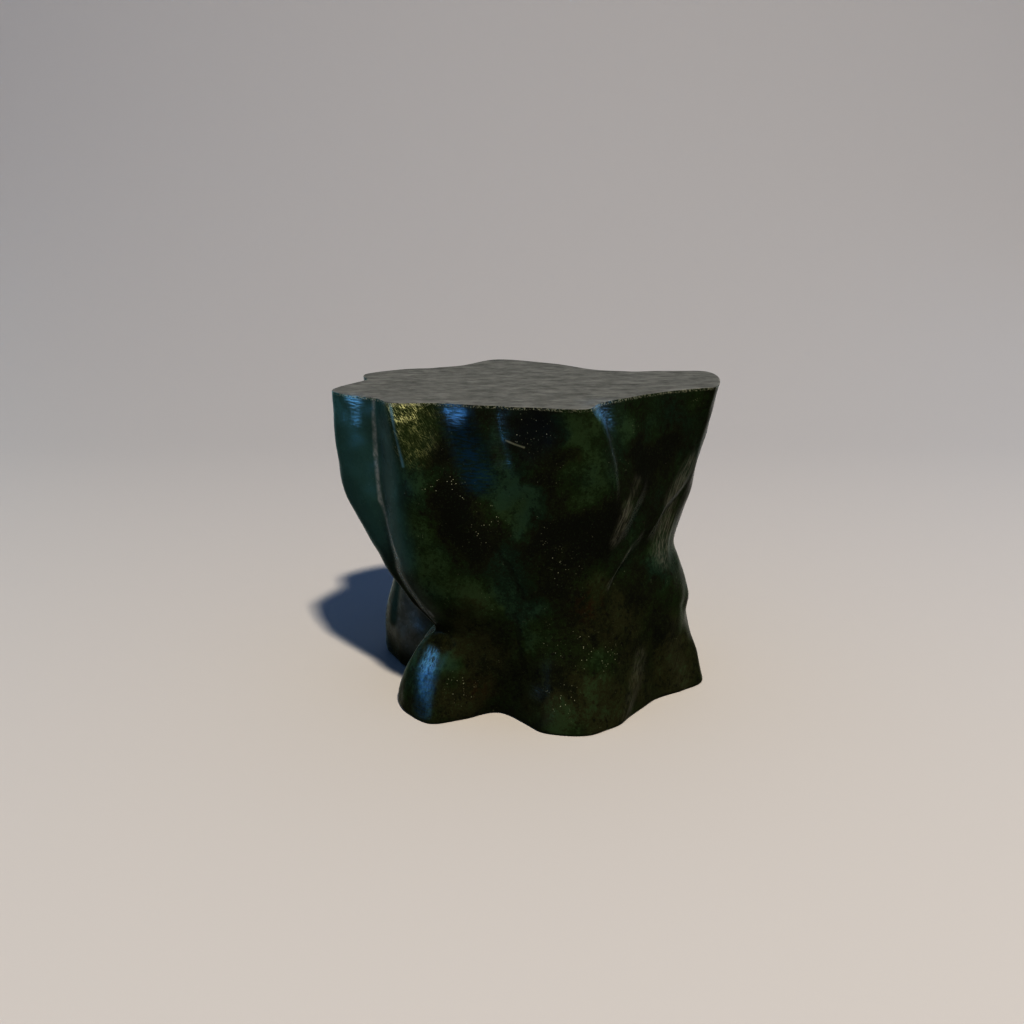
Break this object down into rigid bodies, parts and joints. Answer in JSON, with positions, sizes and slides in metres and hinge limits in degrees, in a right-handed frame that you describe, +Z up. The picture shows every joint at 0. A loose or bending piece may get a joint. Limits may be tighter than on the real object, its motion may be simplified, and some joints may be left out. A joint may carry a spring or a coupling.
{
  "type": "polished jade tree stump carving",
  "caption": "Small freeform block of dark green jade, sawn flat at top and base, its sides polished into the flare, waist and root-like toes of a tree stump.",
  "frame": {"origin": "middle of the bounding box at the base, on the surface the block stands on", "axes": "+X to the right of the front, along the block's longest side; -Y the front, the side facing the camera; +Z up, its shortest side"},
  "size_m": [0.0708, 0.06, 0.057],
  "materials": {
    "jade": "polished dark green nephrite with black mottling on the sides, matt grey-green sawn top"
  },
  "bodies": {
    "root": {"jade_stump": "jade"}
  },
  "joints": []
}
